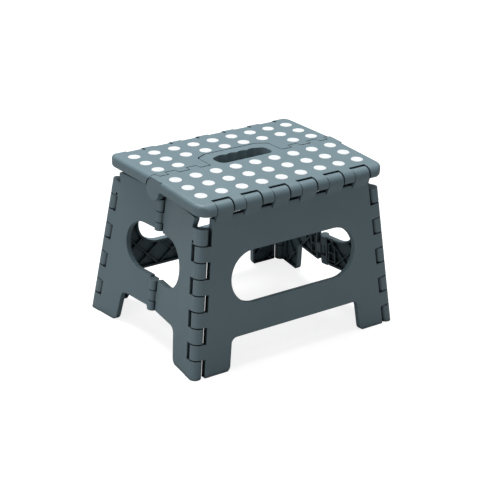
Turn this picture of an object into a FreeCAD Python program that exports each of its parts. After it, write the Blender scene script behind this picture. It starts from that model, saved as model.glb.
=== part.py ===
import FreeCAD, Part
import math
import os

# Folding step stool: two top halves, two leg panels and four side halves, all on hinge pins.
# Units are millimetres. +Z is up, the floor is z = 0, X runs along the stool, the front is -Y.

Vector = FreeCAD.Vector

# Overall sizes
stool_height = 220.0
top_length = 281.0
top_width = 213.0
top_crown = math.radians(1.5)

# Top halves
corner_round = 18.0
corner_ease = 0.5
deck_thickness = 3.2
skirt_depth = 15.4
skirt_wall = 2.4
end_edge_round = 5.0
end_bottom_round = 4.0
deck_rib = 1.6
deck_rib_depth = 12.5
deck_rib_pitch = 28.0
seam_gap = 0.6

# Hinges along the two long edges of the top
edge_axis_depth = 10.0
edge_lip_radius = 10.0
edge_knuckle_radius = 9.0
edge_tab_count = 6
edge_tab_width = 23.0
edge_tab_pitch = 41.6
edge_pin_radius = 1.5
edge_pin_length = 256.0

# Hinge across the middle of the top
centre_axis_depth = 15.6
centre_ear_radius = 14.0
centre_knuckle_radius = 11.0
front_tab_reach = 7.0
rear_tab_reach = 1.0
centre_knuckle_start = 55.4
centre_knuckle_pitch = 15.4
centre_knuckle_count = 5
end_ear_length = 10.5
centre_tab_root = 18.0
centre_pin_radius = 2.0

# Handle tongue of the front half
handle_half_length = 54.5
handle_reach = 36.0
handle_thickness = 13.0
handle_corner_long = 16.0
handle_corner_deep = 8.0
handle_corner_round = 7.0
handle_gap = 0.8
slot_half_length = 41.0
slot_front = 4.0
slot_rear = 21.0
slot_round = 9.0
finger_count = 4
finger_depth = 2.6

# Anti-slip dots
dot_columns = 9
dot_pitch = 29.8
dot_rows = (19.7, 47.3, 74.9)
dot_radius = 7.9
dot_recess = 0.8
dot_proud = 0.35

# Leg panels
leg_splay = math.radians(6.5)
leg_inset = 5.4
leg_thickness = 7.5
leg_skin = 2.6
window_half_length = 95.4
window_top_drop = 61.1
window_bottom_band = 39.2
leg_arch_height = 40.8
leg_foot_inset_top = 98.0
leg_foot_inset_bottom = 103.0
leg_corner_round = 8.0

# Corner hinges between leg panels and side halves
corner_axis_x = 127.1
corner_taper = 0.1113
corner_barrel_radius = 7.7
corner_knuckle_depth = 35.0
corner_foot_knuckle = 23.3
corner_knuckle_count = 9
corner_notch = 9.8
corner_pin_radius = 1.5
corner_pin_cover = 4.0
corner_pin_foot_gap = 6.0

# Side halves
side_toe_in = math.radians(7.2)
side_offset = 8.0
side_thickness = 7.4
side_face_gap = 0.4
side_skin = 2.6
side_top_depth = 23.0
side_window_half_length = 61.5
side_window_top_depth = 72.5
side_window_bottom_band = 41.5
side_arch_height = 43.0
side_foot_inset_top = 61.0
side_foot_inset_bottom = 69.0
side_foot_round = 9.0
ear_clearance = 1.8
side_hole_radius = 2.0
side_hole_offset = 8.2
side_hole_depth = 53.0

# Hinges between the side halves
side_barrel_radius = 6.0
side_notch = 8.3
side_upper_lengths = (16.6, 14.2, 11.2)
side_lower_lengths = (14.0, 14.2, 13.4)
side_knuckle_margin = 0.5
side_knuckle_overhang = 1.6
side_pin_radius = 1.25
side_pin_cover = 2.5
side_upper_bore_play = 3.7
side_lower_bore_play = 1.9

# Ribs and running clearances
stiffener_offset = 4.5
stiffener_cell = 13.0
stiffener_rise = 7.0
panel_rib = 1.6
panel_rib_pitch = 27.0
panel_rim = 2.8
foot_trim = 1.2
rib_setback = 1.2
pin_clearance = 0.08
knuckle_gap = 0.7
edge_ease = 0.8
knuckle_ease = 0.6
side_knuckle_gap = 0.4
edge_tab_gap = 1.3
edge_tab_groove = 5.4
axis_plane_gap = 0.2

# Values that follow from the sizes above
edge_axis_y = top_width / 2 - edge_knuckle_radius
axis_drop = centre_axis_depth - edge_axis_depth
corner_knuckle_top = stool_height - corner_knuckle_depth
corner_knuckle_pitch = (corner_knuckle_top - corner_foot_knuckle) / (corner_knuckle_count - 1)
side_arch_depth = stool_height - side_arch_height
side_window_bottom_depth = side_arch_depth - side_window_bottom_band
half_span = (edge_axis_y - axis_drop * math.sin(top_crown)) / math.cos(top_crown)
crown_rise = half_span * math.sin(top_crown) + edge_axis_depth * (math.cos(top_crown) - 1)
edge_axis_z = stool_height - crown_rise - edge_axis_depth
deck_underside = edge_axis_depth - deck_thickness
skirt_bottom = edge_axis_depth - skirt_depth
huge = 2000.0


def box(x0, x1, y0, y1, z0, z1):
    """A box between two corners."""
    return Part.makeBox(x1 - x0, y1 - y0, z1 - z0, Vector(x0, y0, z0))


def rod(start, end, radius):
    """A round bar between two points."""
    return Part.makeCylinder(radius, start.distanceToPoint(end), start, end - start)


def eased_rod(start, end, radius):
    """A round bar whose two end edges are softened."""
    bar = rod(start, end, radius)
    rims = [edge for edge in bar.Edges if isinstance(edge.Curve, Part.Circle)]
    return bar.makeFillet(knuckle_ease, rims)


def rounded_wire(corners, place):
    """A closed wire through (a, b, radius) corners, each laid out in space by place(a, b)."""
    count = len(corners)
    points = [Vector(a, b, 0) for a, b, _ in corners]
    edges = []
    previous = None
    first = None
    for index in range(count):
        here = points[index]
        back = (points[index - 1] - here).normalize()
        ahead = (points[(index + 1) % count] - here).normalize()
        radius = corners[index][2]
        if radius > 0:
            half_angle = back.getAngle(ahead) / 2
            reach = radius / math.tan(half_angle)
            middle = (back + ahead).normalize()
            centre = here + middle * (radius / math.sin(half_angle))
            enter = here + back * reach
            leave = here + ahead * reach
            nearest = centre - middle * radius
        else:
            enter = here
            leave = here
        if previous is not None and previous.distanceToPoint(enter) > 1e-6:
            edges.append(Part.LineSegment(place(previous), place(enter)).toShape())
        if radius > 0:
            edges.append(Part.Arc(place(enter), place(nearest), place(leave)).toShape())
        if first is None:
            first = enter
        previous = leave
    if previous.distanceToPoint(first) > 1e-6:
        edges.append(Part.LineSegment(place(previous), place(first)).toShape())
    return Part.Wire(Part.__sortEdges__(edges))


def plan_prism(corners, z0, z1):
    """A prism standing on a rounded outline in the XY plane."""
    wire = rounded_wire(corners, lambda p: Vector(p.x, p.y, z0))
    return Part.Face(wire).extrude(Vector(0, 0, z1 - z0))


def upright_face(corners):
    """A face with a rounded outline in the XZ plane."""
    return Part.Face(rounded_wire(corners, lambda p: Vector(p.x, 0, p.y)))


def oval_window(half_length, low, high):
    """A face in the XZ plane between two levels, with round ends."""
    radius = (high - low) / 2 - 0.05
    return upright_face([
        (-half_length, low, radius),
        (half_length, low, radius),
        (half_length, high, radius),
        (-half_length, high, radius),
    ])


def upright_prism(corners, y0, y1):
    """A prism whose rounded outline lies in the XZ plane."""
    face = upright_face(corners)
    face.translate(Vector(0, y0, 0))
    return face.extrude(Vector(0, y1 - y0, 0))


def profile_prism(corners, x0, x1):
    """A prism whose rounded outline lies in the YZ plane."""
    wire = rounded_wire(corners, lambda p: Vector(x0, p.x, p.y))
    return Part.Face(wire).extrude(Vector(x1 - x0, 0, 0))


def diagonal_ribs(bounds, y0, y1, lean):
    """Parallel diagonal ribs over the XZ rectangle of some bounds, leaning at 45 degrees either way."""
    reach = bounds.XLength + bounds.ZLength
    middle = (bounds.ZMin + bounds.ZMax) / 2
    ribs = []
    count = math.ceil(reach / (panel_rib_pitch * math.sqrt(2)))
    for index in range(-count, count + 1):
        bar = box(-reach, reach, y0, y1, -panel_rib / 2, panel_rib / 2)
        bar.rotate(Vector(0, 0, 0), Vector(0, 1, 0), 45 * lean)
        bar.translate(Vector(index * panel_rib_pitch * math.sqrt(2), 0, middle))
        ribs.append(bar)
    return Part.makeCompound(ribs)


def turned(shape, degrees):
    """A copy turned about the stool's upright centre line."""
    copy = shape.copy()
    copy.rotate(Vector(0, 0, 0), Vector(0, 0, 1), degrees)
    return copy


def mirrored(shape):
    """A copy on the other side of the upright plane between front and rear."""
    return shape.mirror(Vector(0, 0, 0), Vector(0, 1, 0))


# Top halves are drawn flat: the edge hinge axis is the X axis and y grows towards the middle.


def place_top(shape):
    """Set a flat front top half on its edge hinge, leaning up towards the middle."""
    copy = shape.copy()
    copy.rotate(Vector(0, 0, 0), Vector(1, 0, 0), math.degrees(top_crown))
    copy.translate(Vector(0, -edge_axis_y, edge_axis_z))
    return copy


def edge_tab_centres():
    """Places along X of the leg tabs on one long edge."""
    return [(index - (edge_tab_count - 1) / 2) * edge_tab_pitch for index in range(edge_tab_count)]


def centre_knuckles():
    """Spans along +X of the middle hinge knuckles, with True where the front half owns one."""
    spans = []
    for index in range(centre_knuckle_count):
        start = centre_knuckle_start + index * centre_knuckle_pitch
        spans.append((start, start + centre_knuckle_pitch, index % 2 == 1))
    ear_start = top_length / 2 - end_ear_length
    last_start, _, last_front = spans[-1]
    spans[-1] = (last_start, ear_start, last_front)
    spans.append((ear_start, top_length / 2, True))
    return spans


def handle_outline(front, grow):
    """Rounded outline of the handle tongue in plan, seen from either half, grown by a margin."""
    away = 1 if front else -1
    side = handle_half_length + grow
    root = half_span - away * (front_tab_reach + 1.0)
    rear = half_span + away * (handle_reach + grow)
    shoulder = rear - away * handle_corner_deep
    return [
        (-side, root, 0),
        (-side, shoulder, handle_corner_round),
        (-side + handle_corner_long, rear, handle_corner_round),
        (side - handle_corner_long, rear, handle_corner_round),
        (side, shoulder, handle_corner_round),
        (side, root, 0),
    ]


def top_block():
    """Solid outline of a top half: deck, rounded lip at the hinge edge and skirt depth."""
    half = top_length / 2
    back = half_span - seam_gap / 2
    lip = rod(Vector(-half, 0, 0), Vector(half, 0, 0), edge_lip_radius)
    slab = box(-half, half, 0, back, skirt_bottom, edge_axis_depth)
    shape = slab.fuse(lip).cut(box(-half, half, -huge, huge, -huge, skirt_bottom))
    front = -edge_lip_radius - corner_ease
    outline = [
        (-half, front, corner_round),
        (half, front, corner_round),
        (half, back, 0),
        (-half, back, 0),
    ]
    shape = shape.common(plan_prism(outline, skirt_bottom, edge_axis_depth))
    return soften_ends(shape.removeSplitter())


def end_edges(shape, level):
    """The straight edges at both ends of a top half that lie at one level."""
    picked = []
    for edge in shape.Edges:
        middle = edge.CenterOfMass
        at_end = abs(abs(middle.x) - top_length / 2) < 0.01
        if at_end and abs(middle.z - level) < 0.01:
            picked.append(edge)
    return picked


def soften_ends(shape):
    """Round the top and bottom edges at each end of a top half."""
    for level, radius in ((edge_axis_depth, end_edge_round), (skirt_bottom, end_bottom_round)):
        shape = shape.makeFillet(radius, end_edges(shape, level))
    return shape


def deck_ribs(margin_x, y0, y1):
    """Straight ribs under the deck: one group along each direction."""
    bottom = edge_axis_depth - deck_rib_depth
    top = deck_underside + 1
    half = deck_rib / 2
    count = int(2 * margin_x / deck_rib_pitch)
    across = [(index - count / 2) * deck_rib_pitch for index in range(count + 1)]
    along = [y0 + (y1 - y0) * share for share in (1 / 3, 2 / 3)]
    return (
        Part.makeCompound([box(x - half, x + half, y0, y1, bottom, top) for x in across]),
        Part.makeCompound([box(-margin_x, margin_x, y - half, y + half, bottom, top) for y in along]),
    )


def deck_pocket(keep_out):
    """The hollow under a deck, between the skirt walls, less the ribs and what must stay solid."""
    half = top_length / 2 - skirt_wall
    front = edge_lip_radius + 2.0
    back = half_span - seam_gap / 2 - skirt_wall
    hollow = box(-half, half, front, back, -huge, deck_underside)
    for shape in keep_out:
        hollow = hollow.cut(shape)
    for ribs in deck_ribs(half, front, back):
        hollow = hollow.cut(ribs)
    return hollow


def knuckle_radius(x0, x1):
    """Outer radius of a middle hinge knuckle: the end ears are larger than the rest."""
    at_end = max(abs(x0), abs(x1)) > top_length / 2 - end_ear_length + 1.0
    return centre_ear_radius if at_end else centre_knuckle_radius


def tab_reach(front):
    """How far a half's tabs reach past the seam."""
    return front_tab_reach if front else rear_tab_reach


def centre_knuckle(x0, x1, front):
    """One knuckle of the middle hinge, with its flat tab level with the deck."""
    start = Vector(x0, half_span, -axis_drop)
    end = Vector(x1, half_span, -axis_drop)
    radius = knuckle_radius(x0, x1)
    tab = box(x0, x1, half_span - centre_tab_root, half_span + tab_reach(front), -axis_drop, edge_axis_depth)
    tab = tab.common(rod(start, end, centre_tab_root + axis_drop))
    return eased_rod(start, end, radius).fuse(tab)


def centre_notch(x0, x1, front, wall):
    """Room in one half for the other half's knuckle, or with a wall the solid left around it."""
    start = Vector(x0 - wall, half_span, -axis_drop)
    end = Vector(x1 + wall, half_span, -axis_drop)
    room = rod(start, end, knuckle_radius(x0, x1) + seam_gap + wall)
    reach = tab_reach(front) + seam_gap + wall
    return room.fuse(box(start.x, end.x, half_span - reach, huge, -huge, huge))


def both_sides(spans):
    """Repeat spans given along +X on the -X side."""
    mirrored_spans = [(-end, -start, front) for start, end, front in spans]
    return spans + mirrored_spans


def finger_slot():
    """The hand hole, with finger hollows along its rear edge."""
    y0 = half_span - slot_front
    y1 = half_span + slot_rear
    corners = [
        (-slot_half_length, y0, slot_round),
        (slot_half_length, y0, slot_round),
        (slot_half_length, y1, slot_round),
        (-slot_half_length, y1, slot_round),
    ]
    slot = plan_prism(corners, -huge, huge)
    span = 2 * (slot_half_length - slot_round) / finger_count
    radius = (span * span / 4 + finger_depth * finger_depth) / (2 * finger_depth)
    for index in range(finger_count):
        x = (index - (finger_count - 1) / 2) * span
        hollow = rod(Vector(x, y1 - radius + finger_depth, -50), Vector(x, y1 - radius + finger_depth, 50), radius)
        slot = slot.fuse(hollow.common(box(x - span / 2, x + span / 2, y0 + 5, huge, -50, 50)))
    return slot


def dot_places(front):
    """Flat places of the anti-slip dots on one half, as (x, y)."""
    places = []
    for row in dot_rows:
        for column in range(dot_columns):
            x = (column - (dot_columns - 1) / 2) * dot_pitch
            by_handle = row - dot_radius < handle_reach and abs(x) - dot_radius < handle_half_length + 2
            if front or not by_handle:
                places.append((x, half_span - row))
    return places


def cylinders_at(places, radius, z0, z1):
    """Upright discs at a list of places."""
    return [rod(Vector(x, y, z0), Vector(x, y, z1), radius) for x, y in places]


def above_rear_deck():
    """Everything above the rear half's deck, seen from the front half."""
    above = box(-huge, huge, 0, huge, 0, huge)
    above.rotate(Vector(0, 0, 0), Vector(1, 0, 0), -2 * math.degrees(top_crown))
    above.translate(Vector(0, half_span, edge_axis_depth))
    return above


def edge_tab_room():
    """Room in a top half's lip for the leg tabs."""
    radius = edge_knuckle_radius + edge_tab_gap
    rooms = []
    for x in edge_tab_centres():
        x0 = x - edge_tab_width / 2 - edge_tab_gap
        x1 = x + edge_tab_width / 2 + edge_tab_gap
        room = rod(Vector(x0, 0, 0), Vector(x1, 0, 0), radius)
        room = room.fuse(box(x0, x1, -huge, edge_tab_groove, -huge, huge))
        rooms.append(room.fuse(box(x0, x1, -huge, radius, -huge, 0)))
    return rooms


def edge_bore(length):
    """Bore for an edge pin."""
    radius = edge_pin_radius + pin_clearance
    return rod(Vector(-length / 2, 0, 0), Vector(length / 2, 0, 0), radius)


def centre_pin_span():
    """Start and end along +X of a middle hinge pin."""
    return centre_knuckle_start + 3.0, top_length / 2 - 4.0


def centre_bores():
    """Bores for the two middle hinge pins."""
    start, end = centre_pin_span()
    radius = centre_pin_radius + pin_clearance
    bores = []
    for side in (-1, 1):
        inner = Vector(side * start, half_span, -axis_drop)
        outer = Vector(side * end, half_span, -axis_drop)
        bores.append(rod(inner, outer, radius))
    return bores


def top_half(front):
    """A top half, flat: the front one carries the handle tongue and the end ears."""
    shape = top_block()
    spans = both_sides(centre_knuckles())
    own = [centre_knuckle(x0 + knuckle_gap, x1 - knuckle_gap, mine) for x0, x1, mine in spans if mine == front]
    room = [centre_notch(x0, x1, mine, 0) for x0, x1, mine in spans if mine != front]
    slot = finger_slot()
    if front:
        wall = plan_prism(
            [
                (-slot_half_length - 3, half_span - slot_front - 3, slot_round),
                (slot_half_length + 3, half_span - slot_front - 3, slot_round),
                (slot_half_length + 3, half_span, 0),
                (-slot_half_length - 3, half_span, 0),
            ],
            skirt_bottom,
            edge_axis_depth,
        )
        keep_out = [wall]
    else:
        keep_out = [plan_prism(handle_outline(front, handle_gap + skirt_wall), -huge, huge)]
    for x0, x1, mine in spans:
        keep_out.append(centre_notch(x0, x1, mine, skirt_wall))
    shape = shape.cut(deck_pocket(keep_out))
    for knuckle in own:
        shape = shape.fuse(knuckle)
    for cut in room + edge_tab_room():
        shape = shape.cut(cut)
    if front:
        tongue = plan_prism(handle_outline(front, 0), edge_axis_depth - handle_thickness, edge_axis_depth)
        shape = shape.fuse(tongue).cut(slot).cut(above_rear_deck())
    else:
        shape = shape.cut(plan_prism(handle_outline(front, handle_gap), -huge, huge))
    for cut in [edge_bore(edge_pin_length + 1)] + centre_bores():
        shape = shape.cut(cut)
    recess = edge_axis_depth - dot_recess
    for cut in cylinders_at(dot_places(front), dot_radius, recess, edge_axis_depth + 1):
        shape = shape.cut(cut)
    return shape.removeSplitter()


def top_dots(front):
    """The anti-slip dots of one half, flat."""
    discs = cylinders_at(dot_places(front), dot_radius, edge_axis_depth - dot_recess, edge_axis_depth + dot_proud)
    return Part.makeCompound(discs)


# The corner axis of the left front corner, shared by the front leg and the left front side half.

leg_down = Vector(0, -math.sin(leg_splay), -math.cos(leg_splay))
leg_out = Vector(0, -math.cos(leg_splay), math.sin(leg_splay))
edge_axis_point = Vector(0, -edge_axis_y, edge_axis_z)
corner_start = edge_axis_point - leg_out * leg_inset - Vector(corner_axis_x, 0, 0)
corner_direction = (leg_down - Vector(corner_taper, 0, 0)).normalize()


def corner_point(height):
    """The point of the left front corner axis at a height above the floor."""
    return corner_start + corner_direction * ((corner_start.z - height) / -corner_direction.z)


def corner_knuckle_spans():
    """Heights (upper, lower, side_owns) of the corner knuckles from the top down."""
    spans = []
    for index in range(corner_knuckle_count):
        upper = corner_knuckle_top - index * corner_knuckle_pitch
        is_foot = index == corner_knuckle_count - 1
        lower = 0.0 if is_foot else upper - corner_knuckle_pitch
        spans.append((upper, lower, index % 2 == 0))
    return spans


def corner_barrel(to_local, upper, lower):
    """One corner knuckle, in a panel's own frame."""
    top = to_local(corner_point(upper)) if upper > 0 else None
    bottom = to_local(corner_point(lower if lower > 0 else -8.0))
    along = (bottom - top).normalize()
    top_gap = 0.0 if upper == corner_knuckle_top else knuckle_gap
    bottom_gap = 0.0 if lower == 0 else knuckle_gap
    return eased_rod(top + along * top_gap, bottom - along * bottom_gap, corner_barrel_radius)


def corner_web(to_local, upper, lower, inward, y0, y1):
    """The flat root that joins a corner knuckle to its panel."""
    top = to_local(corner_point(upper))
    bottom = to_local(corner_point(lower if lower > 0 else -8.0))
    along = (bottom - top).normalize()
    across = Vector(-along.z, 0, along.x)
    if across.x * inward < 0:
        across = across * -1
    top_gap = 0.0 if upper == corner_knuckle_top else knuckle_gap
    bottom_gap = 0.0 if lower == 0 else knuckle_gap
    start = top + along * top_gap
    end = bottom - along * bottom_gap
    root = corner_notch + 2.5
    corners = []
    for point in (start, end, end + across * root, start + across * root):
        corners.append((point.x, point.z, 0))
    return upright_prism(corners, y0, y1)


def ease_outer_face(slab, outer_y):
    """Soften every edge round the outer face of a slab."""
    rims = []
    for edge in slab.Edges:
        box_around = edge.BoundBox
        if box_around.YLength < 0.001 and abs(box_around.YMin - outer_y) < 0.001:
            rims.append(edge)
    return slab.makeFillet(edge_ease, rims)


def ribbed_panel(face, outer_y, inner_y, skin, keep_solid):
    """A panel with a smooth outer skin towards -Y and rimmed, crossing ribs on its inner side."""
    slab = face.copy()
    slab.translate(Vector(0, outer_y, 0))
    slab = ease_outer_face(slab.extrude(Vector(0, inner_y - outer_y, 0)), outer_y)
    inner = face.makeOffset2D(-panel_rim)
    inner.translate(Vector(0, outer_y + skin, 0))
    hollow = inner.extrude(Vector(0, inner_y - outer_y, 0))
    bounds = hollow.BoundBox
    for shape in keep_solid:
        hollow = hollow.cut(shape)
    for lean in (-1, 1):
        hollow = hollow.cut(diagonal_ribs(bounds, outer_y, inner_y - rib_setback, lean))
    return slab.cut(hollow)


# Leg panels are drawn upright: the edge hinge axis is the X axis and the outside faces -Y.


def leg_to_local(point):
    """A point in the stool's frame, in the upright frame of the front leg."""
    offset = point - edge_axis_point
    return Vector(offset.x, -offset.dot(leg_out), -offset.dot(leg_down))


def place_leg(shape):
    """Set an upright front leg on its edge hinge, leaning out towards the floor."""
    copy = shape.copy()
    copy.rotate(Vector(0, 0, 0), Vector(1, 0, 0), -math.degrees(leg_splay))
    copy.translate(edge_axis_point)
    return copy


def leg_face():
    """Outline of a leg panel with its window."""
    top = -(edge_lip_radius + 0.7)
    bottom = -(edge_axis_z / math.cos(leg_splay) + foot_trim)
    arch = -(edge_axis_z - leg_arch_height) / math.cos(leg_splay)
    top_x = corner_axis_x - corner_taper * top - corner_notch
    bottom_x = corner_axis_x - corner_taper * bottom - corner_notch
    corners = [
        (-top_x, top, 0),
        (top_x, top, 0),
        (bottom_x, bottom, 2.0),
        (leg_foot_inset_bottom, bottom, leg_corner_round),
        (leg_foot_inset_top, arch, leg_corner_round),
        (-leg_foot_inset_top, arch, leg_corner_round),
        (-leg_foot_inset_bottom, bottom, leg_corner_round),
        (-bottom_x, bottom, 2.0),
    ]
    window = oval_window(window_half_length, arch + window_bottom_band, -window_top_drop)
    return upright_face(corners).cut(window).Faces[0]


def edge_tab(x):
    """A leg tab that curls over the lip of the top."""
    x0 = x - edge_tab_width / 2
    x1 = x + edge_tab_width / 2
    knuckle = eased_rod(Vector(x0, 0, 0), Vector(x1, 0, 0), edge_knuckle_radius)
    outer = leg_inset - leg_thickness - axis_plane_gap
    inner = leg_inset - axis_plane_gap
    arm = profile_prism(
        [
            (-edge_knuckle_radius, 0, 0),
            (-edge_knuckle_radius, -4.0, 3.0),
            (outer, -15.5, 3.0),
            (outer, -19.0, 0),
            (inner, -19.0, 0),
            (inner, -6.0, 0),
            (0, 0, 0),
        ],
        x0,
        x1,
    )
    return knuckle.fuse(arm)


def floor_cut(shape):
    """Cut a placed part level with the floor."""
    return shape.cut(box(-huge, huge, -huge, huge, -huge, 0))


def corner_bore(to_local, radius):
    """Bore for a corner pin, in a panel's own frame."""
    top = to_local(corner_point(corner_knuckle_top - corner_pin_cover))
    bottom = to_local(corner_point(-10.0))
    return rod(top, bottom, radius)


def mirror_x(shape):
    """A copy on the other side of the upright plane between left and right."""
    return shape.mirror(Vector(0, 0, 0), Vector(1, 0, 0))


def leg_panel():
    """The front leg panel in place."""
    outer = leg_inset - leg_thickness - axis_plane_gap
    inner = leg_inset - axis_plane_gap
    shape = ribbed_panel(leg_face(), outer, inner, leg_skin, [])
    for upper, lower, side_owns in corner_knuckle_spans():
        if side_owns:
            continue
        knuckle = corner_barrel(leg_to_local, upper, lower)
        web = corner_web(leg_to_local, upper, lower, 1, outer, inner)
        knuckle = knuckle.fuse(web)
        shape = shape.fuse(knuckle).fuse(mirror_x(knuckle))
    for x in edge_tab_centres():
        shape = shape.fuse(edge_tab(x))
    bore = corner_bore(leg_to_local, corner_pin_radius + pin_clearance)
    for cut in (bore, mirror_x(bore), edge_bore(edge_pin_length + 1)):
        shape = shape.cut(cut)
    return floor_cut(place_leg(shape.removeSplitter()))


# Side halves are drawn upright: x grows from the middle hinge to the corner, +Y is inward.

side_along = Vector(-math.sin(side_toe_in), -math.cos(side_toe_in), 0)
side_out = side_along.cross(corner_direction).normalize()
if side_out.x > 0:
    side_out = side_out * -1
side_hinge_x = corner_start.x + (side_offset + corner_start.y * side_out.y) / side_out.x
side_hinge_point = Vector(side_hinge_x, 0, corner_start.z)
side_down = side_out.cross(Vector(0, 1, 0)).normalize()
if side_down.z > 0:
    side_down = side_down * -1
side_across = side_down.cross(side_out).normalize()
if side_across.y > 0:
    side_across = side_across * -1


def side_to_local(point):
    """A point in the stool's frame, in the upright frame of the left front side half."""
    offset = point - side_hinge_point
    return Vector(offset.dot(side_across), -offset.dot(side_out), -offset.dot(side_down))


def place_side(shape):
    """Set an upright side half at the left front."""
    matrix = FreeCAD.Matrix(
        side_across.x, -side_out.x, -side_down.x, side_hinge_point.x,
        side_across.y, -side_out.y, -side_down.y, side_hinge_point.y,
        side_across.z, -side_out.z, -side_down.z, side_hinge_point.z,
        0, 0, 0, 1,
    )
    copy = shape.copy()
    copy.transformShape(matrix)
    return copy


def side_level(depth):
    """Upright height in the side half's frame of a depth below the top of the stool."""
    return -(depth - (stool_height - side_hinge_point.z)) / -side_down.z


def side_face():
    """Outline of a side half, with its half of the window."""
    corner_top = side_to_local(corner_point(stool_height - side_top_depth))
    corner_bottom = side_to_local(corner_point(-foot_trim))
    top = side_level(side_top_depth)
    bottom = side_level(stool_height + foot_trim)
    arch = side_level(side_arch_depth)
    corners = [
        (side_notch, top, 0),
        (corner_top.x - corner_notch + 4.5, top, 3.0),
        (corner_top.x - corner_notch, side_level(stool_height - corner_knuckle_top), 0),
        (corner_bottom.x - corner_notch, bottom, 2.0),
        (side_foot_inset_bottom, bottom, side_foot_round),
        (side_foot_inset_top, arch, side_foot_round),
        (side_notch, arch, 0),
    ]
    low = side_level(side_window_bottom_depth)
    high = side_level(side_window_top_depth)
    window = oval_window(side_window_half_length, low, high)
    return upright_face(corners).cut(window).Faces[0]


def side_knuckle_spans(lengths, start):
    """Depths (upper, lower) of a group of side hinge knuckles that starts at a depth."""
    spans = []
    for length in lengths:
        spans.append((start, start + length))
        start += length
    return spans


upper_knuckles = side_knuckle_spans(
    side_upper_lengths,
    side_window_top_depth - side_knuckle_margin - sum(side_upper_lengths),
)
lower_knuckles = side_knuckle_spans(
    side_lower_lengths,
    side_arch_depth + side_knuckle_overhang - sum(side_lower_lengths),
)


def hinge_span(knuckles):
    """Depths between which a group of side hinge knuckles lies."""
    return knuckles[0][0], knuckles[-1][1]


def hinge_stiffener(y0, y1):
    """Two small square cells that stiffen a side half beside its lower hinge."""
    x0 = side_notch + stiffener_offset
    z0 = side_level(side_arch_depth - stiffener_rise)
    frame = box(x0, x0 + stiffener_cell, y0, y1, z0, z0 + 2 * stiffener_cell)
    for row in range(2):
        low = z0 + row * stiffener_cell + panel_rib / 2
        high = z0 + (row + 1) * stiffener_cell - panel_rib / 2
        frame = frame.cut(box(x0 + panel_rib, x0 + stiffener_cell - panel_rib, -huge, huge, low, high))
    return frame


def side_knuckle(upper, lower):
    """One knuckle of the hinge between two side halves, with its root."""
    z0 = side_level(lower) + side_knuckle_gap
    z1 = side_level(upper) - side_knuckle_gap
    barrel = eased_rod(Vector(0, 0, z0), Vector(0, 0, z1), side_barrel_radius)
    root = box(0, side_notch + 2.5, side_face_gap, side_face_gap + side_thickness, z0, z1)
    return barrel.fuse(root)


def side_bore(knuckles, radius, end_cover):
    """Bore for the pin of a group of side hinge knuckles."""
    upper, lower = hinge_span(knuckles)
    z0 = side_level(lower) + end_cover
    z1 = side_level(upper) - end_cover
    return rod(Vector(0, 0, z0), Vector(0, 0, z1), radius)


def side_hole():
    """The small moulding hole beside the uppermost corner knuckle."""
    axis = side_to_local(corner_point(stool_height - side_hole_depth))
    x = axis.x - side_hole_offset
    return rod(Vector(x, -huge, axis.z), Vector(x, huge, axis.z), side_hole_radius)


def side_half(owns_middle):
    """A side half in place at the left front; owns_middle picks its knuckles of the middle hinge."""
    outer = side_face_gap
    inner = side_face_gap + side_thickness
    shape = ribbed_panel(side_face(), outer, inner, side_skin, [hinge_stiffener(outer, inner)])
    for upper, lower, side_owns in corner_knuckle_spans():
        if side_owns:
            knuckle = corner_barrel(side_to_local, upper, lower)
            web = corner_web(side_to_local, upper, lower, -1, outer, inner)
            shape = shape.fuse(knuckle).fuse(web)
    groups = ((upper_knuckles, side_upper_bore_play), (lower_knuckles, side_lower_bore_play))
    for knuckles, play in groups:
        for index, (upper, lower) in enumerate(knuckles):
            if (index == 1) == owns_middle:
                shape = shape.fuse(side_knuckle(upper, lower))
        if owns_middle:
            bore = side_bore(knuckles, side_pin_radius + play, 0)
        else:
            bore = side_bore(knuckles, side_pin_radius + pin_clearance, side_pin_cover)
        shape = shape.cut(bore)
    shape = shape.cut(corner_bore(side_to_local, corner_pin_radius + pin_clearance)).cut(side_hole())
    placed = floor_cut(place_side(shape))
    ear_radius = centre_knuckle_radius + ear_clearance
    ear_axis = edge_axis_z + half_span * math.sin(top_crown) - axis_drop * math.cos(top_crown)
    ear_room = rod(Vector(-huge, 0, ear_axis), Vector(huge, 0, ear_axis), ear_radius)
    return placed.cut(ear_room).removeSplitter()


def side_pin(knuckles):
    """A pin of the hinge between two side halves, in place on the left."""
    upper, lower = hinge_span(knuckles)
    z0 = side_level(lower) + side_pin_cover + 0.2
    z1 = side_level(upper) - side_pin_cover - 0.2
    return place_side(rod(Vector(0, 0, z0), Vector(0, 0, z1), side_pin_radius))


def corner_pin():
    """The pin of the left front corner, in place."""
    top = corner_point(corner_knuckle_top - corner_pin_cover - 0.3)
    return rod(top, corner_point(corner_pin_foot_gap), corner_pin_radius)


def edge_pin():
    """The front edge pin, in place."""
    pin = rod(Vector(-edge_pin_length / 2, 0, 0), Vector(edge_pin_length / 2, 0, 0), edge_pin_radius)
    return place_leg(pin)


def centre_pin(side):
    """One middle hinge pin of the top, in place."""
    start, end = centre_pin_span()
    inner = Vector(side * (start + 0.3), half_span, -axis_drop)
    outer = Vector(side * (end - 0.3), half_span, -axis_drop)
    return place_top(rod(inner, outer, centre_pin_radius))


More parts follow.
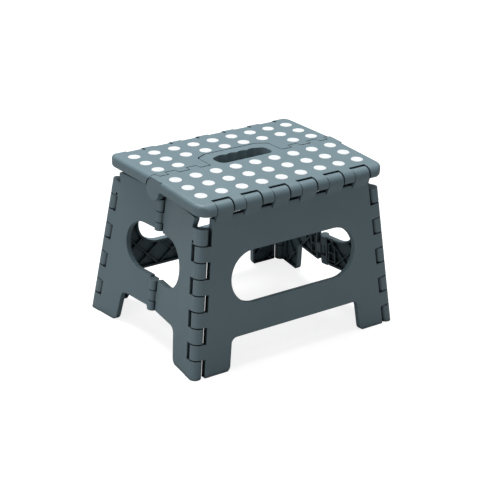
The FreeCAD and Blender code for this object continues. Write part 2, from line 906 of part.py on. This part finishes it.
def build():
    """Every node of the stool by name."""
    front_leg = leg_panel()
    plain_side = side_half(True)
    pinned_side = side_half(False)
    pin = corner_pin()
    nodes = {
        "front_top": place_top(top_half(True)),
        "rear_top": turned(place_top(top_half(False)), 180),
        "front_dots": place_top(top_dots(True)),
        "rear_dots": turned(place_top(top_dots(False)), 180),
        "front_leg": front_leg,
        "rear_leg": turned(front_leg, 180),
        "left_front_side": plain_side,
        "left_rear_side": mirrored(pinned_side),
        "right_rear_side": turned(plain_side, 180),
        "right_front_side": turned(mirrored(pinned_side), 180),
        "front_edge_pin": edge_pin(),
        "rear_edge_pin": turned(edge_pin(), 180),
        "left_centre_pin": centre_pin(-1),
        "right_centre_pin": centre_pin(1),
        "left_front_corner_pin": pin,
        "left_rear_corner_pin": mirrored(pin),
        "right_front_corner_pin": turned(mirrored(pin), 180),
        "right_rear_corner_pin": turned(pin, 180),
    }
    for name, knuckles in (("upper", upper_knuckles), ("lower", lower_knuckles)):
        nodes["left_" + name + "_side_pin"] = side_pin(knuckles)
        nodes["right_" + name + "_side_pin"] = turned(side_pin(knuckles), 180)
    return nodes


os.makedirs("parts", exist_ok=True)
for node_name, node_shape in build().items():
    node_shape.exportStep("parts/" + node_name + ".step")
    print(node_name, "solids", len(node_shape.Solids), "valid", node_shape.isValid(), round(node_shape.Volume))
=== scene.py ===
import logging
import math
from collections.abc import Iterator
from dataclasses import dataclass, field
from enum import Enum
from typing import Any

import bmesh
import bpy
from mathutils import Matrix, Vector


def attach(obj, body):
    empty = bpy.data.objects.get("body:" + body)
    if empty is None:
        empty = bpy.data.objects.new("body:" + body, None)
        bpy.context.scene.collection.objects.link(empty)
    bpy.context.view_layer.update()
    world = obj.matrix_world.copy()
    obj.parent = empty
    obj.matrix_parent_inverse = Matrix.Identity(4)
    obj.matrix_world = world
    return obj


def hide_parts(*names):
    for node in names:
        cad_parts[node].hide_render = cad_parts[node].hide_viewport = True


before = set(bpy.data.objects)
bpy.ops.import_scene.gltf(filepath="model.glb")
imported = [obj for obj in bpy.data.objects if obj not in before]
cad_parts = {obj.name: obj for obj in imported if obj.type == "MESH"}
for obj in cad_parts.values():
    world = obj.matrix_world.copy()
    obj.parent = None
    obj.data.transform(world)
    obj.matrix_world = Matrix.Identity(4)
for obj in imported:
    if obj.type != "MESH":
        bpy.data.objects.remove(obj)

LOG = logging.getLogger("step_stool")
MM = 0.001
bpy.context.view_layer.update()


class Body(Enum):
    """The moving bodies of the stool that new pieces ride on."""

    FRONT_TOP = "front_top"
    REAR_TOP = "rear_top"


class Slot(Enum):
    """The record's material slots."""

    SHELL = "body_grey"
    DOT = "dot_white"
    PIN = "pin_steel"


def linear(hex_colour: str, alpha: float = 1.0) -> tuple[float, float, float, float]:
    """Turns an sRGB hex colour into linear light.

    Args:
        hex_colour: Six hex digits, with or without a leading hash.
        alpha: The fourth channel.

    Returns:
        Red, green, blue and alpha, linear.
    """
    digits = hex_colour.lstrip("#")
    channels = []
    for start in (0, 2, 4):
        value = int(digits[start:start + 2], 16) / 255.0
        low = value / 12.92
        high = ((value + 0.055) / 1.055) ** 2.4
        channels.append(low if value <= 0.04045 else high)
    return channels[0], channels[1], channels[2], alpha


def add_node(
    tree: bpy.types.NodeTree,
    kind: str,
    inputs: dict[str | int, Any] | None = None,
    **settings: Any,
) -> bpy.types.Node:
    """Adds a shader node with its settings, values and incoming links.

    Args:
        tree: The node tree that gets the node.
        kind: The node's type name.
        inputs: Values or output sockets by input name or index.
        **settings: Attributes of the node itself.

    Returns:
        The new node.
    """
    node = tree.nodes.new(kind)
    for name, value in settings.items():
        setattr(node, name, value)
    for name, value in (inputs or {}).items():
        if isinstance(value, bpy.types.NodeSocket):
            tree.links.new(value, node.inputs[name])
        else:
            node.inputs[name].default_value = value
    return node


def blank_material(name: str) -> tuple[bpy.types.Material, bpy.types.NodeTree]:
    """Starts a node material with nothing in it.

    Args:
        name: The material's name.

    Returns:
        The material and its node tree.
    """
    material = bpy.data.materials.new(name)
    material.use_nodes = True
    material.node_tree.nodes.clear()
    return material, material.node_tree


@dataclass(frozen=True)
class MouldedPolypropylene:
    """Slate grey polypropylene from a spark-eroded mould: an even satin skin with fine grain.

    The grain gives soft, broad highlights. The colour drifts slightly where the melt flowed,
    edges that hands and shoes rub are a little paler, and painted shade darkens the narrow gaps and
    inner corners.
    Spark-eroded grain is a few tenths of a millimetre wide. It is drawn about four times as
    coarse, because it would be too fine to show.
    """

    name: str = "moulded_polypropylene_slate"
    base: str = "6d838b"
    cool: str = "60737b"
    rubbed: str = "849ba3"
    # Painted shade: the near-black colour, reach and strength of the darkening painted into gaps
    # and inner corners.
    painted_shade: str = "0c1114"
    painted_shade_reach_mm: float = 8.0
    open_sky: float = 0.8
    closed_sky: float = 0.35
    most_painted_shade: float = 0.95
    grain_mm: float = 1.3
    grain_share: float = 0.45
    flow_mm: float = 55.0
    scuff_mm: float = 14.0
    edge_mm: float = 0.55
    flat_turn: float = 0.99
    sharp_turn: float = 0.86
    most_rub: float = 0.55
    roughness: float = 0.46
    bump_mm: float = 0.09

    def build(self) -> bpy.types.Material:
        """Builds the material.

        Returns:
            The finished material.
        """
        material, tree = blank_material(self.name)
        place = add_node(tree, "ShaderNodeTexCoord").outputs["Object"]
        flow = add_node(
            tree,
            "ShaderNodeTexNoise",
            {
                "Vector": place,
                "Scale": 1.0 / (self.flow_mm * MM),
                "Detail": 3.0,
                "Roughness": 0.55,
            },
        )
        grain = add_node(
            tree,
            "ShaderNodeTexNoise",
            {
                "Vector": place,
                "Scale": 1.0 / (self.grain_mm * MM),
                "Detail": 2.0,
                "Roughness": 0.6,
            },
        )
        speckle = add_node(
            tree,
            "ShaderNodeMix",
            {"Factor": self.grain_share, "A": flow.outputs["Fac"], "B": grain.outputs["Fac"]},
            data_type="FLOAT",
        )
        tint = add_node(
            tree,
            "ShaderNodeMix",
            {
                "Factor": speckle.outputs["Result"],
                "A": linear(self.cool),
                "B": linear(self.base),
            },
            data_type="RGBA",
        )
        scuff = add_node(
            tree,
            "ShaderNodeTexNoise",
            {
                "Vector": place,
                "Scale": 1.0 / (self.scuff_mm * MM),
                "Detail": 6.0,
                "Roughness": 0.7,
            },
        )
        eased = add_node(tree, "ShaderNodeBevel", {"Radius": self.edge_mm * MM}, samples=4)
        geometry = add_node(tree, "ShaderNodeNewGeometry")
        facing = add_node(
            tree,
            "ShaderNodeVectorMath",
            {0: eased.outputs["Normal"], 1: geometry.outputs["Normal"]},
            operation="DOT_PRODUCT",
        )
        edge = add_node(
            tree,
            "ShaderNodeMapRange",
            {
                "Value": facing.outputs["Value"],
                "From Min": self.flat_turn,
                "From Max": self.sharp_turn,
                "To Min": 0.0,
                "To Max": self.most_rub,
            },
        )
        worn = add_node(
            tree,
            "ShaderNodeMath",
            {0: edge.outputs["Result"], 1: scuff.outputs["Fac"]},
            operation="MULTIPLY",
        )
        skin = add_node(
            tree,
            "ShaderNodeMix",
            {
                "Factor": worn.outputs["Value"],
                "A": tint.outputs["Result"],
                "B": linear(self.rubbed),
            },
            data_type="RGBA",
        )
        # Painted shade: ambient occlusion within a few millimetres darkens the colour towards near
        # black in gaps, inner corners and the hollow inside.
        shade_occlusion = add_node(
            tree,
            "ShaderNodeAmbientOcclusion",
            {"Distance": self.painted_shade_reach_mm * MM},
            samples=6,
        )
        painted_shade_amount = add_node(
            tree,
            "ShaderNodeMapRange",
            {
                "Value": shade_occlusion.outputs["AO"],
                "From Min": self.open_sky,
                "From Max": self.closed_sky,
                "To Min": 0.0,
                "To Max": self.most_painted_shade,
            },
        )
        # Mixes the painted shade into the plastic's colour.
        colour = add_node(
            tree,
            "ShaderNodeMix",
            {
                "Factor": painted_shade_amount.outputs["Result"],
                "A": skin.outputs["Result"],
                "B": linear(self.painted_shade),
            },
            data_type="RGBA",
        )
        rough = add_node(
            tree,
            "ShaderNodeMapRange",
            {
                "Value": scuff.outputs["Fac"],
                "From Min": 0.3,
                "From Max": 0.7,
                "To Min": self.roughness - 0.05,
                "To Max": self.roughness + 0.07,
            },
        )
        bump = add_node(
            tree,
            "ShaderNodeBump",
            {
                "Height": grain.outputs["Fac"],
                "Distance": self.bump_mm * MM,
                "Strength": 0.6,
                "Normal": eased.outputs["Normal"],
            },
        )
        shader = add_node(
            tree,
            "ShaderNodeBsdfPrincipled",
            {
                "Base Color": colour.outputs["Result"],
                "Roughness": rough.outputs["Result"],
                "Normal": bump.outputs["Normal"],
                "IOR": 1.49,
            },
        )
        add_node(tree, "ShaderNodeOutputMaterial", {"Surface": shader.outputs["BSDF"]})
        return material


@dataclass(frozen=True)
class AntiSlipRubber:
    """White thermoplastic rubber, pressed in: matt, with a faint stipple and a little grime.

    The stipple is drawn a little coarser than the real one, so that it shows.
    """

    name: str = "anti_slip_rubber_white"
    base: str = "d4d7d9"
    grime: str = "bcc0c2"
    stipple_mm: float = 0.8
    grime_mm: float = 9.0
    grime_start: float = 0.5
    grime_full: float = 0.8
    most_grime: float = 0.5
    bump_mm: float = 0.06

    def build(self) -> bpy.types.Material:
        """Builds the material.

        Returns:
            The finished material.
        """
        material, tree = blank_material(self.name)
        place = add_node(tree, "ShaderNodeTexCoord").outputs["Object"]
        grime = add_node(
            tree,
            "ShaderNodeTexNoise",
            {
                "Vector": place,
                "Scale": 1.0 / (self.grime_mm * MM),
                "Detail": 5.0,
                "Roughness": 0.65,
            },
        )
        amount = add_node(
            tree,
            "ShaderNodeMapRange",
            {
                "Value": grime.outputs["Fac"],
                "From Min": self.grime_start,
                "From Max": self.grime_full,
                "To Min": 0.0,
                "To Max": self.most_grime,
            },
        )
        colour = add_node(
            tree,
            "ShaderNodeMix",
            {
                "Factor": amount.outputs["Result"],
                "A": linear(self.base),
                "B": linear(self.grime),
            },
            data_type="RGBA",
        )
        stipple = add_node(
            tree,
            "ShaderNodeTexVoronoi",
            {"Vector": place, "Scale": 1.0 / (self.stipple_mm * MM)},
        )
        bump = add_node(
            tree,
            "ShaderNodeBump",
            {"Height": stipple.outputs["Distance"], "Distance": self.bump_mm * MM, "Strength": 0.5},
        )
        rough = add_node(
            tree,
            "ShaderNodeMapRange",
            {"Value": grime.outputs["Fac"], "To Min": 0.62, "To Max": 0.8},
        )
        shader = add_node(
            tree,
            "ShaderNodeBsdfPrincipled",
            {
                "Base Color": colour.outputs["Result"],
                "Roughness": rough.outputs["Result"],
                "Normal": bump.outputs["Normal"],
                "IOR": 1.5,
            },
        )
        add_node(tree, "ShaderNodeOutputMaterial", {"Surface": shader.outputs["BSDF"]})
        return material


@dataclass(frozen=True)
class DrawnSteelWire:
    """Bright drawn steel wire for the hinge pins, with fine scratches from the die.

    The scratches are drawn far coarser than the real ones, so that they show on pin ends.
    """

    name: str = "drawn_steel_wire"
    base: str = "b4b8bb"
    dull: str = "8d9194"
    scratch_mm: float = 1.2
    bump_mm: float = 0.01

    def build(self) -> bpy.types.Material:
        """Builds the material.

        Returns:
            The finished material.
        """
        material, tree = blank_material(self.name)
        place = add_node(tree, "ShaderNodeTexCoord").outputs["Object"]
        scratches = add_node(
            tree,
            "ShaderNodeTexNoise",
            {"Vector": place, "Scale": 1.0 / (self.scratch_mm * MM), "Detail": 4.0},
        )
        colour = add_node(
            tree,
            "ShaderNodeMix",
            {"Factor": scratches.outputs["Fac"], "A": linear(self.base), "B": linear(self.dull)},
            data_type="RGBA",
        )
        rough = add_node(
            tree,
            "ShaderNodeMapRange",
            {"Value": scratches.outputs["Fac"], "To Min": 0.25, "To Max": 0.45},
        )
        bump = add_node(
            tree,
            "ShaderNodeBump",
            {"Height": scratches.outputs["Fac"], "Distance": self.bump_mm * MM, "Strength": 0.4},
        )
        shader = add_node(
            tree,
            "ShaderNodeBsdfPrincipled",
            {
                "Base Color": colour.outputs["Result"],
                "Roughness": rough.outputs["Result"],
                "Normal": bump.outputs["Normal"],
                "Metallic": 1.0,
            },
        )
        add_node(tree, "ShaderNodeOutputMaterial", {"Surface": shader.outputs["BSDF"]})
        return material


@dataclass(frozen=True)
class StudioPaper:
    """Pale seamless studio paper for the floor, lit a little from behind so it stays white.

    The glow shows to the lens alone, so the paper doesn't light the stool from below.
    """

    name: str = "studio_paper_white"
    base: str = "a8a8a8"
    shade: str = "a4a4a4"
    glow: float = 2.15
    mottle_mm: float = 400.0

    def build(self) -> bpy.types.Material:
        """Builds the material.

        Returns:
            The finished material.
        """
        material, tree = blank_material(self.name)
        place = add_node(tree, "ShaderNodeTexCoord").outputs["Object"]
        mottle = add_node(
            tree,
            "ShaderNodeTexNoise",
            {"Vector": place, "Scale": 1.0 / (self.mottle_mm * MM), "Detail": 2.0},
        )
        colour = add_node(
            tree,
            "ShaderNodeMix",
            {"Factor": mottle.outputs["Fac"], "A": linear(self.base), "B": linear(self.shade)},
            data_type="RGBA",
        )
        path = add_node(tree, "ShaderNodeLightPath")
        seen = add_node(
            tree,
            "ShaderNodeMath",
            {0: path.outputs["Is Camera Ray"], 1: self.glow},
            operation="MULTIPLY",
        )
        shader = add_node(
            tree,
            "ShaderNodeBsdfPrincipled",
            {
                "Base Color": colour.outputs["Result"],
                "Roughness": 0.9,
                "Emission Color": colour.outputs["Result"],
                "Emission Strength": seen.outputs["Value"],
            },
        )
        add_node(tree, "ShaderNodeOutputMaterial", {"Surface": shader.outputs["BSDF"]})
        return material


@dataclass
class MouldedShell:
    """The stool's moulded panels: CAD nodes that keep their shape and take the plastic skin."""

    finish: MouldedPolypropylene = field(default_factory=MouldedPolypropylene)
    nodes: tuple[str, ...] = (
        "front_top",
        "rear_top",
        "front_leg",
        "rear_leg",
        "left_front_side",
        "left_rear_side",
        "right_front_side",
        "right_rear_side",
    )

    def build(self) -> list[bpy.types.Object]:
        """Dresses each panel.

        Returns:
            The dressed panels.
        """
        material = self.finish.build()
        return [dress(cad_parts[name], material) for name in self.nodes]


@dataclass
class HingePins:
    """The steel hinge pins, which stay as the CAD has them."""

    finish: DrawnSteelWire = field(default_factory=DrawnSteelWire)

    def build(self) -> list[bpy.types.Object]:
        """Dresses each pin.

        Returns:
            The dressed pins.
        """
        material = self.finish.build()
        names = sorted(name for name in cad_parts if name.endswith("_pin"))
        return [dress(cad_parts[name], material) for name in names]


def dress(piece: bpy.types.Object, material: bpy.types.Material) -> bpy.types.Object:
    """Gives a piece one material in every slot.

    Args:
        piece: The piece to dress.
        material: The material it takes.

    Returns:
        The same piece.
    """
    if not piece.data.materials:
        piece.data.materials.append(material)
    for index in range(len(piece.material_slots)):
        piece.material_slots[index].material = material
    return piece


def islands(mesh: bpy.types.Mesh) -> Iterator[list[Vector]]:
    """Finds the separate solids of a mesh.

    Args:
        mesh: A mesh of loose triangles.

    Yields:
        The corner places of each solid.
    """
    work = bmesh.new()
    work.from_mesh(mesh)
    bmesh.ops.remove_doubles(work, verts=work.verts, dist=0.01 * MM)
    work.verts.ensure_lookup_table()
    seen: set[int] = set()
    for start in work.verts:
        if start.index in seen:
            continue
        stack = [start]
        seen.add(start.index)
        places = []
        while stack:
            vertex = stack.pop()
            places.append(vertex.co.copy())
            for edge in vertex.link_edges:
                other = edge.other_vert(vertex)
                if other.index not in seen:
                    seen.add(other.index)
                    stack.append(other)
        yield places
    work.free()


@dataclass
class AntiSlipDots:
    """The white anti-slip dots of one half of the top, each a low domed disc in its recess."""

    node: str
    body: Body
    finish: bpy.types.Material
    rim_mm: float = 0.25
    rim_share: float = 0.3
    dome_mm: float = 0.25
    weld_mm: float = 0.005
    rings: int = 3
    sides: int = 40

    def build(self) -> bpy.types.Object:
        """Builds all dots of this half as one piece.

        Returns:
            The piece, riding on its half of the top.
        """
        work = bmesh.new()
        for places in islands(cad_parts[self.node].data):
            self.add_dot(work, places)
        mesh = bpy.data.meshes.new(self.node + "_domed")
        bmesh.ops.recalc_face_normals(work, faces=work.faces)
        work.to_mesh(mesh)
        work.free()
        for face in mesh.polygons:
            face.use_smooth = True
        piece = bpy.data.objects.new(self.node + "_domed", mesh)
        bpy.context.scene.collection.objects.link(piece)
        dress(piece, self.finish)
        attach(piece, self.body.value)
        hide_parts(self.node)
        return piece

    def add_dot(self, work: bmesh.types.BMesh, places: list[Vector]) -> None:
        """Adds one domed disc.

        Args:
            work: The mesh that gets the disc.
            places: The corners of the plain disc it stands for.
        """
        centre = sum(places, Vector()) / len(places)
        tilt = self.lean(places, centre)
        local = [tilt.inverted() @ (place - centre) for place in places]
        radius = max(math.hypot(place.x, place.y) for place in local)
        low = min(place.z for place in local)
        high = max(place.z for place in local)
        rim = self.rim_mm * MM
        outline = [
            (0.0, low),
            (radius, low),
            (radius, high - rim),
            (radius - rim * self.rim_share, high - rim * self.rim_share),
            (radius - rim, high),
        ]
        for ring in range(1, self.rings + 1):
            share = ring / self.rings
            reach = (radius - rim) * (1.0 - share)
            outline.append((reach, high + self.dome_mm * MM * (1.0 - (1.0 - share) ** 2)))
        corners = [work.verts.new((x, 0.0, z)) for x, z in outline]
        edges = [work.edges.new(pair) for pair in zip(corners, corners[1:])]
        bmesh.ops.spin(
            work,
            geom=corners + edges,
            cent=(0.0, 0.0, 0.0),
            axis=(0.0, 0.0, 1.0),
            angle=math.tau,
            steps=self.sides,
            use_merge=True,
        )
        fresh = [vertex for vertex in work.verts if not vertex.tag]
        bmesh.ops.remove_doubles(work, verts=fresh, dist=self.weld_mm * MM)
        fresh = [vertex for vertex in work.verts if not vertex.tag]
        bmesh.ops.transform(work, matrix=Matrix.Translation(centre) @ tilt.to_4x4(), verts=fresh)
        for vertex in fresh:
            vertex.tag = True

    @staticmethod
    def lean(places: list[Vector], centre: Vector) -> Matrix:
        """Finds how the disc leans with the roofed top.

        Args:
            places: The corners of the disc.
            centre: Their middle.

        Returns:
            A turn about X that sets an upright disc at the same lean.
        """
        upper = [place for place in places if place.z > centre.z]
        rise = sum((p.y - centre.y) * (p.z - centre.z) for p in upper)
        run = sum((p.y - centre.y) ** 2 for p in upper)
        middle = sum((p.y - centre.y) for p in upper) / len(upper)
        height = sum((p.z - centre.z) for p in upper) / len(upper)
        slope = (rise - middle * height * len(upper)) / (run - middle * middle * len(upper))
        return Matrix.Rotation(math.atan(slope), 3, "X")


@dataclass(frozen=True)
class SoftLight:
    """A large soft light of the studio."""

    name: str
    place: tuple[float, float, float]
    size: float
    power: float
    colour: str = "ffffff"

    def build(self) -> bpy.types.Object:
        """Sets up the light, aimed at the middle of the stool.

        Returns:
            The light's object.
        """
        lamp = bpy.data.lights.new(self.name, "AREA")
        lamp.shape = "DISK"
        lamp.size = self.size
        lamp.energy = self.power
        lamp.color = linear(self.colour)[:3]
        holder = bpy.data.objects.new(self.name, lamp)
        bpy.context.scene.collection.objects.link(holder)
        holder.location = self.place
        aim = Vector((0.0, 0.0, 0.11)) - Vector(self.place)
        holder.rotation_euler = aim.to_track_quat("-Z", "Y").to_euler()
        return holder


@dataclass
class Studio:
    """The pale floor, the soft lights, the surrounding light and the camera."""

    floor_half: float = 12.0
    surround: str = "ffffff"
    surround_strength: float = 0.285
    camera_place: tuple[float, float, float] = (-1.0469, -1.4389, 0.8912)
    camera_turn: tuple[float, float, float] = (66.142, -1.709, -35.143)
    lens_mm: float = 112.67
    lights: tuple[SoftLight, ...] = (
        SoftLight("key_overhead", (0.1, 0.5, 2.2), 1.6, 58.0),
        SoftLight("fill_left", (-2.4, -0.3, 0.8), 1.4, 10.0),
    )

    def build(self) -> None:
        """Builds the whole studio."""
        self.build_floor()
        self.build_surround()
        for light in self.lights:
            light.build()
        self.build_camera()

    def build_floor(self) -> bpy.types.Object:
        """Lays the paper floor.

        Returns:
            The floor.
        """
        work = bmesh.new()
        bmesh.ops.create_grid(work, x_segments=8, y_segments=8, size=self.floor_half)
        mesh = bpy.data.meshes.new("paper_floor")
        work.to_mesh(mesh)
        work.free()
        floor = bpy.data.objects.new("paper_floor", mesh)
        bpy.context.scene.collection.objects.link(floor)
        dress(floor, StudioPaper().build())
        return floor

    def build_surround(self) -> None:
        """Sets the even light that comes from all around."""
        world = bpy.data.worlds.new("studio_surround")
        bpy.context.scene.world = world
        world.use_nodes = True
        tree = world.node_tree
        tree.nodes.clear()
        light = add_node(
            tree,
            "ShaderNodeBackground",
            {"Color": linear(self.surround), "Strength": self.surround_strength},
        )
        add_node(tree, "ShaderNodeOutputWorld", {"Surface": light.outputs["Background"]})

    def build_camera(self) -> bpy.types.Object:
        """Sets up the camera and makes it the scene's camera.

        Returns:
            The camera.
        """
        lens = bpy.data.cameras.new("studio_camera")
        lens.lens = self.lens_mm
        lens.sensor_width = 36.0
        lens.clip_start = 0.05
        lens.clip_end = 60.0
        camera = bpy.data.objects.new("studio_camera", lens)
        bpy.context.scene.collection.objects.link(camera)
        camera.location = self.camera_place
        camera.rotation_euler = tuple(math.radians(angle) for angle in self.camera_turn)
        bpy.context.scene.camera = camera
        return camera


def main() -> None:
    """Builds the studio and dresses and details the stool."""
    logging.basicConfig(level=logging.INFO)
    bpy.context.scene.view_settings.view_transform = "Standard"
    Studio().build()
    for shell in MouldedShell().build():
        LOG.info("panel %s", shell.name)
    for pin in HingePins().build():
        LOG.info("pin %s", pin.name)
    rubber = AntiSlipRubber().build()
    for node, body in (("front_dots", Body.FRONT_TOP), ("rear_dots", Body.REAR_TOP)):
        LOG.info("dots %s", AntiSlipDots(node, body, rubber).build().name)


if __name__ == "__main__":
    main()
